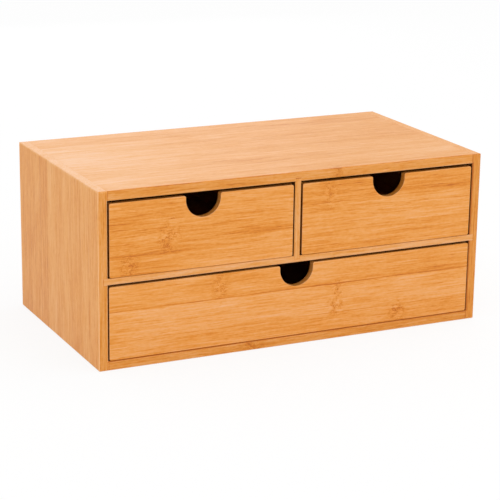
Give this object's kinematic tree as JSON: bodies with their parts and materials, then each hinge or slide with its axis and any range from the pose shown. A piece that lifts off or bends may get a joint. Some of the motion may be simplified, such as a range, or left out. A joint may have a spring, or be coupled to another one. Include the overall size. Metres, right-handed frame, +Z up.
{
  "type": "desktop mini drawers",
  "caption": "Small desktop chest of bamboo boards, with short drawers side by side above a full-width drawer and a round finger notch in each front.",
  "frame": {"origin": "middle of the base, on the surface that the chest stands on", "axes": "+Z up, +X to the right seen from the front, drawers face -Y"},
  "size_m": [0.35, 0.19, 0.148],
  "materials": {
    "bamboo_case": "caramel bamboo, clear satin lacquer",
    "bamboo_front": "caramel bamboo, clear satin lacquer",
    "bamboo_box": "caramel bamboo, sanded",
    "bamboo_thin": "bamboo ply, sanded"
  },
  "bodies": {
    "case": {"side_left": "bamboo_case", "side_right": "bamboo_case", "top_panel": "bamboo_case", "bottom_panel": "bamboo_case", "shelf": "bamboo_case", "divider": "bamboo_case", "back_panel": "bamboo_thin"},
    "upper_left_drawer": {"upper_left_drawer_front": "bamboo_front", "upper_left_drawer_side_left": "bamboo_box", "upper_left_drawer_side_right": "bamboo_box", "upper_left_drawer_back": "bamboo_box", "upper_left_drawer_bottom": "bamboo_thin"},
    "upper_right_drawer": {"upper_right_drawer_front": "bamboo_front", "upper_right_drawer_side_left": "bamboo_box", "upper_right_drawer_side_right": "bamboo_box", "upper_right_drawer_back": "bamboo_box", "upper_right_drawer_bottom": "bamboo_thin"},
    "lower_drawer": {"lower_drawer_front": "bamboo_front", "lower_drawer_side_left": "bamboo_box", "lower_drawer_side_right": "bamboo_box", "lower_drawer_back": "bamboo_box", "lower_drawer_bottom": "bamboo_thin"}
  },
  "joints": [
    {"name": "upper_left_slide", "type": "slide", "parent": "case", "child": "upper_left_drawer", "axis": [0, -1, 0], "range_m": [0, 0.16]},
    {"name": "upper_right_slide", "type": "slide", "parent": "case", "child": "upper_right_drawer", "axis": [0, -1, 0], "range_m": [0, 0.16]},
    {"name": "lower_slide", "type": "slide", "parent": "case", "child": "lower_drawer", "axis": [0, -1, 0], "range_m": [0, 0.16]}
  ]
}
